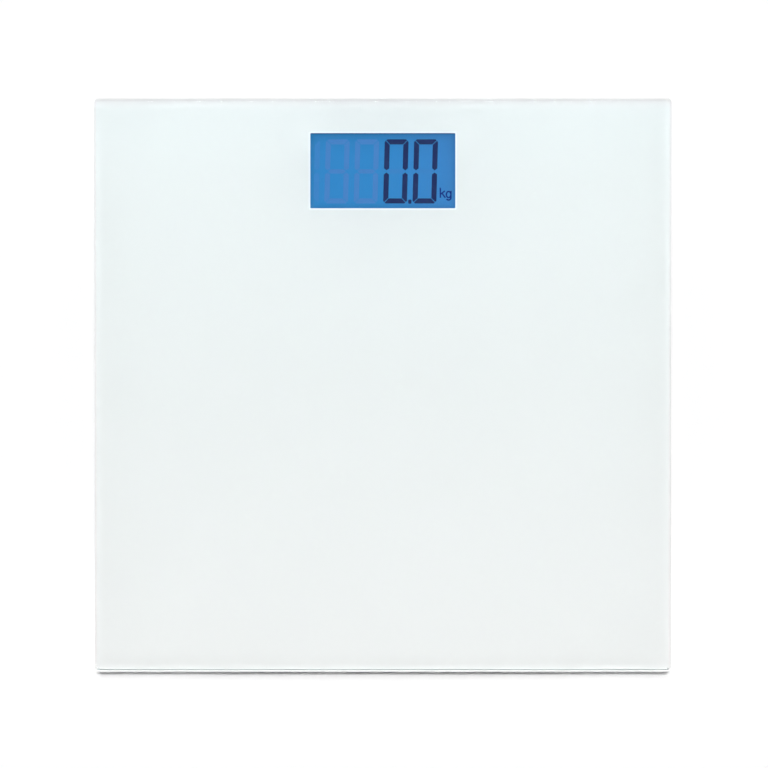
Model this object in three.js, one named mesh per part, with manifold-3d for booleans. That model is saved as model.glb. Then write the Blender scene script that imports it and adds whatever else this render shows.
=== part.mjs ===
// Digital bathroom scale: a square glass platform that stands on four load-cell feet. A backlit
// display, its board and a battery bay share one flat housing under the glass near the rear edge.
//
// Millimetres. The origin is on the floor under the middle of the platform, +Z is up, +Y is the
// edge that the display stands near, and +X is on the right of the person who reads it.

import * as THREE from 'three';
import { mergeVertices } from 'three/addons/utils/BufferGeometryUtils.js';
import Module from 'manifold-3d';

const wasm = await Module();
wasm.setup();

// ---- Driving dimensions ----

const HEIGHT = 25; // floor to the top of the glass
const CLEARANCE = 0.3; // between neighbours that don't bear on each other
const TAPE = 0.8; // foam tape that holds everything to the glass
const GLASS = { size: 300, thickness: 6, corner: 2, chamfer: 1 };
const PRINT = { thickness: 0.3 };

const WINDOW = { width: 75.4, depth: 39.3, corner: 0.5, y: 112.3 };
const LCD = { width: 82, depth: 46, thickness: 2.8 };
const LIGHT_GUIDE = { width: 78, depth: 42, thickness: 3 };
const BOARD = { width: 100, front: 86.5, rear: 137.5, thickness: 1.6, belowGuide: 1 };

const HOUSING = {
  width: 124, front: 58, rear: 141, corner: 8, wall: 2, roof: 1.3, // the moulding under the glass
  bottom: 4, split: 7.3, floor: 1.6, chamfer: 1, // the cover that closes it from below
};

const CELL = { radius: 5.25, body: 43.7, nubRadius: 1.9, nub: 0.8, pitch: 11.2 }; // AAA size
const BAY = { halfLength: 25.6, wall: 1.6, slack: 1.5 }; // the compartment between its end walls
const CONTACT = { thickness: 0.4, width: 8, springRadius: 2.6, springTurns: 3 };
const DOOR = { width: 54, tongue: 1.5, tongueLow: 5.9, top: 6.7 };
const RIDGE = { count: 4, length: 22, width: 1.2, height: 0.4, pitch: 3, start: 5 }; // finger grip

const BUTTON = { x: 45, y: 100, radius: 4.5, flangeRadius: 6.2, flange: 0.8, recess: 0.3 };
const SCREW = { headRadius: 2.6, headHeight: 1.6, shankRadius: 1.3, length: 8, sink: 0.3 };
const BOARD_SCREW = { headRadius: 1.9, headHeight: 1.2, shankRadius: 1, length: 5 };
const POST = { boss: 4.2, housing: 3.2, board: 2.5 }; // radii of what the screws go through

const CONTROLLER = { x: -20, y: 108, radius: 7, height: 1.8 }; // a chip under a drop of epoxy
const CAPACITOR = { x: -36, y: 98, radius: 2.5, height: 3.4 };
const CONNECTOR = { x: 12, y: 126, width: 15, depth: 5, height: 3.4 };
const LED = { width: 3, depth: 6, height: 2.8 };

const FOOT_OFFSET = 115; // of each foot's centre from the middle of the platform, along X and Y
const FOOT = {
  radius: 28, skirtRadius: 26.8, boreRadius: 25.4, bottom: 5.2, flange: 1.2, flangeRadius: 20.6,
};
const PAD = { radius: 21, thickness: 2, chamfer: 0.6 };
const CUP = { radius: 23.5, lip: 0.8, plate: 2.2, guideRadius: 20, guideHeight: 4.4, guideWall: 2 };
const LOAD_CELL = { size: 34, thickness: 1.5, top: 12.9, corner: 2 };
const LEAD = { width: 3.6, thickness: 1.2, height: 15.6, start: 12.5, bend: 8, end: 12 };
const CHANNEL = { width: 7, wall: 1, bottom: 13.8 };

const ROUND_STEPS = 28; // sides of a foot
const SMALL_ROUND_STEPS = 16; // sides of a button, post, screw or battery cell
const SMALL_RADIUS = 8; // the largest radius that counts as small
const CORNER_STEPS = 5; // sides of a quarter turn

// ---- Levels that follow from them ----

const GLASS_BOTTOM = HEIGHT - GLASS.thickness;
const PRINT_BOTTOM = GLASS_BOTTOM - PRINT.thickness;
const HOUSING_TOP = PRINT_BOTTOM - TAPE;
const ROOF_BOTTOM = HOUSING_TOP - HOUSING.roof;
const FLOOR_TOP = HOUSING.bottom + HOUSING.floor;
const LCD_BOTTOM = HOUSING_TOP - LCD.thickness;
const GUIDE_BOTTOM = LCD_BOTTOM - LIGHT_GUIDE.thickness;
const BOARD_TOP = GUIDE_BOTTOM - BOARD.belowGuide;
const BOARD_BOTTOM = BOARD_TOP - BOARD.thickness;
const LOAD_CELL_BOTTOM = LOAD_CELL.top - LOAD_CELL.thickness;
const CELL_AXIS_Z = FLOOR_TOP + CLEARANCE + CELL.radius;

const HOUSING_Y = (HOUSING.front + HOUSING.rear) / 2;
const HOUSING_DEPTH = HOUSING.rear - HOUSING.front;
const HOUSING_SCREWS = [[-57, 63], [57, 63], [-57, 136], [57, 136]];
const BOARD_SCREWS = [[-46, 91], [46, 132]];
const SCREW_SEAT = HOUSING.bottom + SCREW.sink + SCREW.headHeight;
const BAY_FRONT = HOUSING.front + HOUSING.wall;
const BAY_REAR = BAY_FRONT + CELL.pitch + 2 * CELL.radius + BAY.slack;
const BAY_Y = (BAY_FRONT + BAY_REAR) / 2;
const DOOR_REAR = BAY_REAR + BAY.wall + 0.7;

// ---- Materials ----

const finish = (color, roughness, metalness = 0) =>
  new THREE.MeshStandardMaterial({ color, roughness, metalness });

const MATERIALS = {
  glass: new THREE.MeshStandardMaterial({
    color: 0xe6f4f2, roughness: 0.05, metalness: 0, transparent: true, opacity: 0.35,
  }),
  print: finish(0xf2f6f5, 0.35),
  lcd: finish(0x3d87c7, 0.2),
  acrylic: finish(0xdcecff, 0.1),
  whitePlastic: finish(0xe4e7e8, 0.5),
  greyPlastic: finish(0xc3c7c9, 0.55),
  rubber: finish(0x9a9ea1, 0.9),
  foam: finish(0xd9dbdc, 0.95),
  blackFoam: finish(0x24272b, 0.95),
  springSteel: finish(0x9ea3a6, 0.4, 1),
  zinc: finish(0xb9bdbf, 0.35, 1),
  nickel: finish(0xc9c6bd, 0.25, 1),
  board: finish(0x1d5c3a, 0.5),
  epoxy: finish(0x15171a, 0.4),
  led: finish(0xf4f1dc, 0.3),
  aluminium: finish(0xaab2ba, 0.35, 1),
  connector: finish(0xefeadd, 0.5),
  silicone: finish(0x5f6468, 0.8),
  cellWrap: finish(0x39424c, 0.35),
  lead: finish(0x8f959a, 0.6),
};

// ---- Solids ----

/** Merges shared corners and drops the triangles that a pole makes flat. */
function closed(geometry) {
  const bare = geometry.clone();
  bare.deleteAttribute('normal');
  bare.deleteAttribute('uv');
  const merged = mergeVertices(bare, 1e-5);
  const index = Array.from(merged.index.array);
  const kept = [];
  for (let i = 0; i < index.length; i += 3) {
    const [a, b, c] = index.slice(i, i + 3);
    if (a !== b && b !== c && a !== c) kept.push(a, b, c);
  }
  merged.setIndex(kept);
  return merged;
}

function toSolid(geometry) {
  const mesh = closed(geometry);
  return new wasm.Manifold(new wasm.Mesh({
    numProp: 3,
    vertProperties: new Float32Array(mesh.attributes.position.array),
    triVerts: new Uint32Array(mesh.index.array),
  }));
}

function toGeometry(solid) {
  const mesh = solid.getMesh();
  const geometry = new THREE.BufferGeometry();
  geometry.setAttribute('position', new THREE.BufferAttribute(mesh.vertProperties, mesh.numProp));
  geometry.setIndex(Array.from(mesh.triVerts));
  return geometry;
}

const join = (first, ...rest) =>
  toGeometry(rest.reduce((solid, piece) => solid.add(toSolid(piece)), toSolid(first)));

const cut = (first, ...tools) =>
  toGeometry(tools.reduce((solid, tool) => solid.subtract(toSolid(tool)), toSolid(first)));

/** Corners of a rounded rectangle, anticlockwise. */
function roundedOutline(width, depth, radius, y = 0) {
  const quarters = [[1, 1], [-1, 1], [-1, -1], [1, -1]];
  return quarters.flatMap(([sideX, sideY], quarter) =>
    Array.from({ length: CORNER_STEPS + 1 }, (_, step) => {
      const angle = (quarter + step / CORNER_STEPS) * Math.PI / 2;
      return new THREE.Vector2(
        sideX * (width / 2 - radius) + radius * Math.cos(angle),
        y + sideY * (depth / 2 - radius) + radius * Math.sin(angle),
      );
    }));
}

/** A solid through outlines of equal length, each at its own height, from the lowest up. */
function loft(layers) {
  const count = layers[0].outline.length;
  const positions = layers.flatMap(({ z, outline }) => outline.flatMap(({ x, y }) => [x, y, z]));
  const index = [];
  for (let layer = 0; layer < layers.length - 1; layer += 1) {
    for (let i = 0; i < count; i += 1) {
      const a = layer * count + i;
      const b = layer * count + (i + 1) % count;
      index.push(a, b, b + count, a, b + count, a + count);
    }
  }
  const cap = THREE.ShapeUtils.triangulateShape(layers[0].outline, []);
  const top = (layers.length - 1) * count;
  for (const [a, b, c] of cap) index.push(a, c, b, top + a, top + b, top + c);
  const geometry = new THREE.BufferGeometry();
  geometry.setAttribute('position', new THREE.Float32BufferAttribute(positions, 3));
  geometry.setIndex(index);
  return geometry;
}

const prism = (outline, low, high) => loft([{ z: low, outline }, { z: high, outline }]);

/** A box between two corners. */
function box([x0, y0, z0], [x1, y1, z1]) {
  const corners = [[x0, y0], [x1, y0], [x1, y1], [x0, y1]];
  return prism(corners.map(([x, y]) => new THREE.Vector2(x, y)), z0, z1);
}

/** A box that is centred on x and y. */
function block(x, y, width, depth, low, high) {
  return box([x - width / 2, y - depth / 2, low], [x + width / 2, y + depth / 2, high]);
}

/** A profile of [radius, height] pairs, from its lowest point outwards, turned about Z. */
function turned(profile, x = 0, y = 0) {
  const points = profile.map(([radius, z]) => new THREE.Vector2(radius, z));
  const largest = Math.max(...profile.map(([radius]) => radius));
  const steps = largest > SMALL_RADIUS ? ROUND_STEPS : SMALL_ROUND_STEPS;
  const geometry = new THREE.LatheGeometry(points, steps);
  const position = geometry.attributes.position;
  for (let i = 0; i < position.count; i += 1) {
    position.setXYZ(i, position.getX(i) + x, y - position.getZ(i), position.getY(i));
  }
  return closed(geometry);
}

const cylinder = (x, y, radius, low, high) =>
  turned([[0, low], [radius, low], [radius, high], [0, high]], x, y);

const scale = new THREE.Group();

function add(name, geometry, material, parent = scale) {
  const mesh = new THREE.Mesh(closed(geometry), material);
  mesh.name = name;
  parent.add(mesh);
  return mesh;
}

// ---- Platform ----

function glassPlatform() {
  const { size, corner, chamfer } = GLASS;
  const full = roundedOutline(size, size, corner);
  const inner = roundedOutline(size - 2 * chamfer, size - 2 * chamfer, corner);
  return loft([
    { z: GLASS_BOTTOM, outline: inner },
    { z: GLASS_BOTTOM + chamfer, outline: full },
    { z: HEIGHT - chamfer, outline: full },
    { z: HEIGHT, outline: inner },
  ]);
}

/** The white coat under the glass, open where the display shows. */
function backPrint() {
  const size = GLASS.size - 2 * GLASS.chamfer;
  const coat = prism(roundedOutline(size, size, GLASS.corner), PRINT_BOTTOM, GLASS_BOTTOM);
  const { width, depth, corner, y } = WINDOW;
  return cut(coat, prism(roundedOutline(width, depth, corner, y), PRINT_BOTTOM - 1, HEIGHT));
}

add('glass_platform', glassPlatform(), MATERIALS.glass);
add('back_print', backPrint(), MATERIALS.print);

// ---- Display and electronics ----

/** A flat frame of foam between a housing's top and the glass. */
function foamFrame(outer, inner) {
  return cut(prism(outer, HOUSING_TOP, PRINT_BOTTOM), prism(inner, HOUSING_TOP - 1, HEIGHT));
}

function displayGasket() {
  const y = WINDOW.y;
  return foamFrame(
    roundedOutline(LCD.width + 2, LCD.depth + 1.4, 1, y),
    roundedOutline(WINDOW.width + 1, WINDOW.depth + 1, WINDOW.corner, y),
  );
}

function mainBoard() {
  const y = (BOARD.front + BOARD.rear) / 2;
  const depth = BOARD.rear - BOARD.front;
  const blank = prism(roundedOutline(BOARD.width, depth, 2, y), BOARD_BOTTOM, BOARD_TOP);
  const radius = BOARD_SCREW.shankRadius + CLEARANCE;
  return cut(blank, ...BOARD_SCREWS.map(([x, yPost]) => cylinder(x, yPost, radius, 0, HEIGHT)));
}

function controllerBlob() {
  const { x, y, radius, height } = CONTROLLER;
  return turned([
    [0, BOARD_BOTTOM - height], [radius * 0.6, BOARD_BOTTOM - height * 0.85],
    [radius * 0.9, BOARD_BOTTOM - height * 0.35], [radius, BOARD_BOTTOM], [0, BOARD_BOTTOM],
  ], x, y);
}

/** The soft dome between the unit button's flange and the board. */
function switchDome() {
  const low = FLOOR_TOP + BUTTON.flange + 2 * CLEARANCE;
  const [crown, skirt] = [BUTTON.radius / 2, BUTTON.radius - 0.5];
  return turned([
    [0, low], [crown, low], [crown, low + 1], [skirt, BOARD_BOTTOM - 0.5],
    [skirt, BOARD_BOTTOM], [0, BOARD_BOTTOM],
  ], BUTTON.x, BUTTON.y);
}

function addDisplay() {
  const { width, depth } = LIGHT_GUIDE;
  const y = WINDOW.y;
  const guideLeft = -width / 2;
  const guideFront = y + 0.5 - depth / 2;
  const lcdFront = y - LCD.depth / 2;
  const lcd = roundedOutline(LCD.width, LCD.depth, 0.6, y);
  const guide = roundedOutline(width, depth, 0.6, y + 0.5);
  add('display_gasket', displayGasket(), MATERIALS.blackFoam);
  add('lcd_panel', prism(lcd, LCD_BOTTOM, HOUSING_TOP), MATERIALS.lcd);
  add('light_guide', prism(guide, GUIDE_BOTTOM, LCD_BOTTOM), MATERIALS.acrylic);
  add('backlight_led', box(
    [guideLeft - CLEARANCE - LED.width, y - LED.depth / 2, BOARD_TOP],
    [guideLeft - CLEARANCE, y + LED.depth / 2, BOARD_TOP + LED.height],
  ), MATERIALS.led);
  add('zebra_connector', box(
    [-LCD.width / 2 + 3, lcdFront + 0.2, BOARD_TOP],
    [LCD.width / 2 - 3, guideFront - 2 * CLEARANCE, LCD_BOTTOM],
  ), MATERIALS.silicone);
}

function addElectronics() {
  add('main_board', mainBoard(), MATERIALS.board);
  add('controller_chip', controllerBlob(), MATERIALS.epoxy);
  const can = CAPACITOR;
  add('capacitor', cylinder(can.x, can.y, can.radius, BOARD_BOTTOM - can.height, BOARD_BOTTOM),
    MATERIALS.aluminium);
  const { x, y, width, depth, height } = CONNECTOR;
  add('lead_connector', block(x, y, width, depth, BOARD_BOTTOM - height, BOARD_BOTTOM),
    MATERIALS.connector);
  add('switch_dome', switchDome(), MATERIALS.silicone);
}

// ---- Screws ----

/** A pan-head screw that points up, with a cross recess in its head. */
function screw({ headRadius, headHeight, shankRadius, length }, x, y, seat) {
  const low = seat - headHeight;
  const tip = seat + length;
  const blank = turned([
    [0, low], [headRadius * 0.7, low], [headRadius, low + headHeight * 0.45], [headRadius, seat],
    [shankRadius, seat], [shankRadius, tip - shankRadius], [0, tip],
  ], x, y);
  const [long, short] = [headRadius, headRadius * 0.3];
  const recess = low + headHeight * 0.5;
  const arms = [[long, short], [short, long]];
  return cut(blank, ...arms.map(([width, depth]) => block(x, y, width, depth, low - 1, recess)));
}

function addScrews() {
  HOUSING_SCREWS.forEach(([x, y], i) => {
    add(`housing_screw_${i + 1}`, screw(SCREW, x, y, SCREW_SEAT), MATERIALS.zinc);
  });
  BOARD_SCREWS.forEach(([x, y], i) => {
    add(`board_screw_${i + 1}`, screw(BOARD_SCREW, x, y, BOARD_BOTTOM), MATERIALS.zinc);
  });
}

// ---- Display housing, its cover, the battery door and the unit button ----

const housingOutline = (inset, radius = HOUSING.corner - inset) => roundedOutline(
  HOUSING.width - 2 * inset, HOUSING_DEPTH - 2 * inset, radius, HOUSING_Y,
);

/** The two end walls and the rear wall of the battery bay. */
function bayWalls(low) {
  const outer = BAY.halfLength + BAY.wall;
  const ends = [-1, 1].map((side) => box(
    [Math.min(side * BAY.halfLength, side * outer), BAY_FRONT - 1, low],
    [Math.max(side * BAY.halfLength, side * outer), BAY_REAR + BAY.wall, ROOF_BOTTOM + 0.5],
  ));
  const rear = box([-outer, BAY_REAR, low], [outer, BAY_REAR + BAY.wall, ROOF_BOTTOM + 0.5]);
  return [...ends, rear];
}

function displayHousing(leadHoles) {
  const shell = cut(
    prism(housingOutline(0), HOUSING.split, HOUSING_TOP),
    prism(housingOutline(HOUSING.wall), HOUSING.split - 1, ROOF_BOTTOM),
  );
  const screwPosts = HOUSING_SCREWS.map(([x, y]) =>
    cylinder(x, y, POST.housing, HOUSING.split, ROOF_BOTTOM + 0.5));
  const boardPosts = BOARD_SCREWS.map(([x, y]) =>
    cylinder(x, y, POST.board, BOARD_TOP, ROOF_BOTTOM + 0.5));
  const body = join(shell, ...screwPosts, ...boardPosts, ...bayWalls(DOOR.top + CLEARANCE));
  const pilots = HOUSING_SCREWS.map(([x, y]) =>
    cylinder(x, y, SCREW.shankRadius + CLEARANCE, 0, SCREW_SEAT + SCREW.length + 1));
  const boardPilots = BOARD_SCREWS.map(([x, y]) =>
    cylinder(x, y, BOARD_SCREW.shankRadius + CLEARANCE, 0, BOARD_BOTTOM + BOARD_SCREW.length + 0.6));
  const displayHole = block(0, WINDOW.y, LCD.width + 2 * CLEARANCE, LCD.depth + 2 * CLEARANCE,
    ROOF_BOTTOM - 1, HEIGHT);
  return cut(body, ...pilots, ...boardPilots, displayHole, ...leadHoles);
}

function housingCover() {
  const { bottom, split, wall, chamfer } = HOUSING;
  const tray = cut(
    loft([
      { z: bottom, outline: housingOutline(chamfer) },
      { z: bottom + chamfer, outline: housingOutline(0) },
      { z: split, outline: housingOutline(0) },
    ]),
    prism(housingOutline(wall), FLOOR_TOP, HEIGHT),
  );
  const bosses = HOUSING_SCREWS.map(([x, y]) => cylinder(x, y, POST.boss, bottom + chamfer, split));
  const trimmed = toGeometry(toSolid(join(tray, ...bosses)).intersect(
    toSolid(prism(housingOutline(0), 0, HEIGHT)),
  ));
  const headPockets = HOUSING_SCREWS.map(([x, y]) =>
    cylinder(x, y, SCREW.headRadius + CLEARANCE, 0, SCREW_SEAT));
  const shankHoles = HOUSING_SCREWS.map(([x, y]) =>
    cylinder(x, y, SCREW.shankRadius + CLEARANCE, 0, HEIGHT));
  const slotHalf = DOOR.width / 2 + CLEARANCE;
  const doorSlot = box([-slotHalf, 0, 0], [slotHalf, DOOR_REAR + CLEARANCE, HEIGHT]);
  const tongueHalf = slotHalf + DOOR.tongue;
  const tongueSlot = box([-tongueHalf, 0, FLOOR_TOP], [tongueHalf, BAY_FRONT + 1, HEIGHT]);
  const buttonHole = cylinder(BUTTON.x, BUTTON.y, BUTTON.radius + CLEARANCE, 0, HEIGHT);
  return cut(trimmed, ...headPockets, ...shankHoles, doorSlot, tongueSlot, buttonHole);
}

/** The door slides out to the front on two tongues that lie above the cover's floor. */
function batteryDoor() {
  const half = DOOR.width / 2;
  const front = HOUSING.front + 0.2;
  const panel = box([-half, front, HOUSING.bottom], [half, DOOR_REAR, FLOOR_TOP]);
  const rails = [-1, 1].flatMap((side) => {
    const centre = side * (half - 0.9);
    const reach = side * (half + DOOR.tongue / 2);
    const length = DOOR_REAR - front;
    const y = (DOOR_REAR + front) / 2;
    return [
      block(centre, y, 1.8, length, FLOOR_TOP - 0.5, DOOR.top),
      block(reach - side * 0.2, y, DOOR.tongue + 0.4, length, DOOR.tongueLow, DOOR.top),
    ];
  });
  const ridgeLow = HOUSING.bottom - RIDGE.height;
  const ridges = Array.from({ length: RIDGE.count }, (_, i) => {
    const y = front + RIDGE.start + RIDGE.pitch * i;
    return block(0, y, RIDGE.length, RIDGE.width, ridgeLow, FLOOR_TOP - 0.5);
  });
  return join(panel, ...rails, ...ridges);
}

/** A round cap in the cover's floor, kept in by a flange. */
function unitButton() {
  const low = HOUSING.bottom + BUTTON.recess;
  const flange = FLOOR_TOP + CLEARANCE;
  return turned([
    [0, low], [BUTTON.radius - 0.5, low], [BUTTON.radius, low + 0.5], [BUTTON.radius, flange],
    [BUTTON.flangeRadius, flange], [BUTTON.flangeRadius, flange + BUTTON.flange],
    [0, flange + BUTTON.flange],
  ], BUTTON.x, BUTTON.y);
}

function housingTape() {
  return foamFrame(
    housingOutline(1),
    roundedOutline(LCD.width + 4, LCD.depth + 3.4, 1, WINDOW.y),
  );
}

// ---- Battery cells and their contacts ----

/** A cell along X whose nub points to one side and touches that side's contact plate. */
function batteryCell(side, y) {
  const { radius, body, nubRadius, nub } = CELL;
  const cell = turned([
    [0, 0], [radius - 0.4, 0], [radius, 0.4], [radius, body - 0.6], [radius - 0.6, body],
    [nubRadius, body], [nubRadius, body + nub], [0, body + nub],
  ]);
  cell.rotateY(side * Math.PI / 2);
  return cell.translate(side * (BAY.halfLength - CONTACT.thickness - body - nub), y, CELL_AXIS_Z);
}

/** A round wire wound along X, from an end wall's plate to the flat end of a cell. */
function batterySpring(side, y) {
  const plateX = BAY.halfLength - CONTACT.thickness;
  const start = plateX - 2 * CLEARANCE;
  const end = CELL.body + CELL.nub - plateX + 2 * CLEARANCE;
  const steps = CONTACT.springTurns * 10;
  const points = Array.from({ length: steps + 1 }, (_, i) => {
    const angle = 2 * Math.PI * CONTACT.springTurns * i / steps;
    const radius = CONTACT.springRadius * (1.2 - 0.4 * i / steps);
    return new THREE.Vector3(
      side * (start + (end - start) * i / steps),
      y + radius * Math.cos(angle),
      CELL_AXIS_Z + radius * Math.sin(angle),
    );
  });
  const wire = new THREE.Shape().absarc(0, 0, CLEARANCE, 0, 2 * Math.PI);
  return new THREE.ExtrudeGeometry(wire, {
    steps, curveSegments: 3, bevelEnabled: false, extrudePath: new THREE.CatmullRomCurve3(points),
  });
}

function contactPlate(side, y, width) {
  const x = side * (BAY.halfLength - CONTACT.thickness / 2);
  const half = CONTACT.width / 2;
  return block(x, y, CONTACT.thickness, width, CELL_AXIS_Z - half, CELL_AXIS_Z + half);
}

function addBatteries() {
  const [frontY, rearY] = [BAY_Y - CELL.pitch / 2, BAY_Y + CELL.pitch / 2];
  add('battery_cell_1', batteryCell(1, frontY), MATERIALS.cellWrap);
  add('battery_cell_2', batteryCell(-1, rearY), MATERIALS.cellWrap);
  add('battery_spring_1', batterySpring(-1, frontY), MATERIALS.nickel);
  add('battery_spring_2', batterySpring(1, rearY), MATERIALS.nickel);
  add('bridge_contact', contactPlate(1, BAY_Y, CELL.pitch + CONTACT.width), MATERIALS.nickel);
  add('terminal_negative', contactPlate(-1, frontY, CONTACT.width), MATERIALS.nickel);
  add('terminal_positive', contactPlate(-1, rearY, CONTACT.width), MATERIALS.nickel);
}

// ---- Feet: each is built about its own axis, with +X towards the display housing ----

/** The hole that a lead takes through a wall, from one distance to another along +X. */
function leadHole(from, to) {
  const half = LEAD.width / 2 + 2 * CLEARANCE;
  return box([from, -half, LEAD.height - 1], [to, half, ROOF_BOTTOM]);
}

/** A bell with a ledge under each corner of the load cell and a seat above each of them. */
function footHousing() {
  const { radius, skirtRadius, boreRadius, bottom, flange, flangeRadius } = FOOT;
  const bell = turned([
    [0, ROOF_BOTTOM], [boreRadius, ROOF_BOTTOM], [boreRadius, bottom + flange],
    [flangeRadius, bottom + flange], [flangeRadius, bottom], [skirtRadius, bottom],
    [radius, HOUSING_TOP - 2.5], [radius, HOUSING_TOP], [0, HOUSING_TOP],
  ]);
  const seat = LOAD_CELL.size / 2 - 2.7;
  const corners = [[1, 1], [-1, 1], [-1, -1], [1, -1]];
  const seats = corners.map(([x, y]) =>
    block(x * seat, y * seat, 4.4, 4.4, LOAD_CELL.top, ROOF_BOTTOM + 0.5));
  const [ledgeLow, ledgeHigh] = [LOAD_CELL_BOTTOM - 1.5, LOAD_CELL_BOTTOM - CLEARANCE];
  const ledges = corners.map(([x, y]) => {
    const ledge = box([21.5, -2.5, ledgeLow], [boreRadius + 0.4, 2.5, ledgeHigh]);
    return ledge.rotateZ(Math.atan2(y, x));
  });
  return cut(join(bell, ...seats, ...ledges), leadHole(boreRadius - 5, radius + 5));
}

/** Spring steel with a U-shaped slot, which leaves a tongue that bends under the load. */
function loadCell() {
  const { size, top, corner } = LOAD_CELL;
  const plate = prism(roundedOutline(size, size, corner), LOAD_CELL_BOTTOM, top);
  const arms = [-1, 1].map((side) => block(-1.5, side * 9.25, 21, 3.5, 0, HEIGHT));
  return cut(plate, ...arms, block(-10.25, 0, 3.5, 19, 0, HEIGHT));
}

/** The plate that stands on the floor pad: a guide ring with a snap bead, and a central boss. */
function footCup() {
  const { radius, lip, plate, guideRadius, guideHeight, guideWall } = CUP;
  const low = PAD.thickness;
  const deck = low + plate;
  const bead = FOOT.bottom + FOOT.flange + 2 * CLEARANCE;
  const rim = deck + guideHeight;
  return turned([
    [0, low], [PAD.radius + CLEARANCE, low], [PAD.radius + CLEARANCE, low - lip],
    [radius - 0.5, low - lip], [radius, low - lip + 0.5], [radius, deck], [guideRadius, deck],
    [guideRadius, bead], [guideRadius + 1, bead], [guideRadius + 1, bead + 0.5],
    [guideRadius, rim], [guideRadius - guideWall, rim], [guideRadius - guideWall, deck],
    [5, deck], [4, LOAD_CELL_BOTTOM], [0, LOAD_CELL_BOTTOM],
  ]);
}

function footPad() {
  const { radius, thickness, chamfer } = PAD;
  return turned([[0, 0], [radius - chamfer, 0], [radius, chamfer], [radius, thickness],
    [0, thickness]]);
}

function footTape() {
  return cut(
    cylinder(0, 0, FOOT.radius - 1, HOUSING_TOP, PRINT_BOTTOM),
    cylinder(0, 0, 10, 0, HEIGHT),
  );
}

/** A smooth step between two heights, seen from the side. */
function sBend(x0, z0, x1, z1) {
  const middle = (x0 + x1) / 2;
  const points = [[x0, z0], [middle, z0], [middle, z1], [x1, z1]];
  return new THREE.CubicBezierCurve(...points.map(([x, z]) => new THREE.Vector2(x, z))).getPoints(8);
}

/** A flat three-wire lead: up from the load cell, level through its channel, down to the board. */
function cellLead(length) {
  const half = LEAD.thickness / 2;
  const { start, bend, height, end } = LEAD;
  const low = LOAD_CELL.top + CLEARANCE + half;
  const side = (offset) => [
    ...sBend(start, low + offset, start + bend, height + offset),
    ...sBend(length - bend, height + offset, length, end + offset),
  ];
  const shape = new THREE.Shape([...side(-half), ...side(half).reverse()]);
  const geometry = new THREE.ExtrudeGeometry(shape, { depth: LEAD.width, bevelEnabled: false });
  return geometry.rotateX(Math.PI / 2).translate(0, LEAD.width / 2, 0);
}

/** A U-shaped cover that carries the lead along the underside of the glass. */
function leadChannel(from, to) {
  const { width, wall, bottom } = CHANNEL;
  const inner = width / 2 - wall;
  return cut(
    box([from, -width / 2, bottom], [to, width / 2, PRINT_BOTTOM]),
    box([from - 1, -inner, bottom + wall], [to + 1, inner, HEIGHT]),
  );
}

/** Where each foot stands, where its lead meets the housing, and how far the lead goes on inside. */
const FEET = [['left', -1], ['right', 1]].flatMap(([hand, side]) => [
  {
    corner: `front_${hand}`, x: side * FOOT_OFFSET, y: -FOOT_OFFSET,
    port: [side * 45, HOUSING.front], inside: 31.5,
  },
  {
    corner: `rear_${hand}`, x: side * FOOT_OFFSET, y: FOOT_OFFSET,
    port: [side * HOUSING.width / 2, FOOT_OFFSET], inside: 14.5,
  },
]);

/** The group that a foot is built in, and how far its lead runs to the housing's wall. */
function footFrame({ x, y, port }) {
  const frame = new THREE.Group();
  frame.position.set(x, y, 0);
  frame.rotation.z = Math.atan2(port[1] - y, port[0] - x);
  frame.updateMatrix();
  return { frame, reach: Math.hypot(port[0] - x, port[1] - y) };
}

function addFoot(foot) {
  const { frame, reach } = footFrame(foot);
  const part = (name, geometry, material) => add(`${name}_${foot.corner}`, geometry, material, frame);
  part('foot_tape', footTape(), MATERIALS.foam);
  part('foot_housing', footHousing(), MATERIALS.whitePlastic);
  part('load_cell', loadCell(), MATERIALS.springSteel);
  part('foot_cup', footCup(), MATERIALS.greyPlastic);
  part('foot_pad', footPad(), MATERIALS.rubber);
  part('cell_lead', cellLead(reach + foot.inside), MATERIALS.lead);
  part('lead_channel', leadChannel(FOOT.radius + 0.5, reach - 2.2), MATERIALS.whitePlastic);
  scale.add(frame);
}

/** The hole for a foot's lead in the display housing's wall. */
function housingLeadHole(foot) {
  const { frame, reach } = footFrame(foot);
  return leadHole(reach - 4, reach + 5).applyMatrix4(frame.matrix);
}

addDisplay();
addElectronics();
add('housing_tape', housingTape(), MATERIALS.foam);
add('display_housing', displayHousing(FEET.map(housingLeadHole)), MATERIALS.whitePlastic);
add('housing_cover', housingCover(), MATERIALS.whitePlastic);
add('battery_door', batteryDoor(), MATERIALS.whitePlastic);
add('unit_button', unitButton(), MATERIALS.greyPlastic);
addScrews();
addBatteries();
FEET.forEach(addFoot);

export default scale;
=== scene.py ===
"""Looks of the digital bathroom scale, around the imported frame.

Metres, in the row's frame: the floor is z = 0, +Y is the edge that the display stands near.
"""

import math

import bmesh
import bpy
from mathutils import Matrix, Vector


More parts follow.
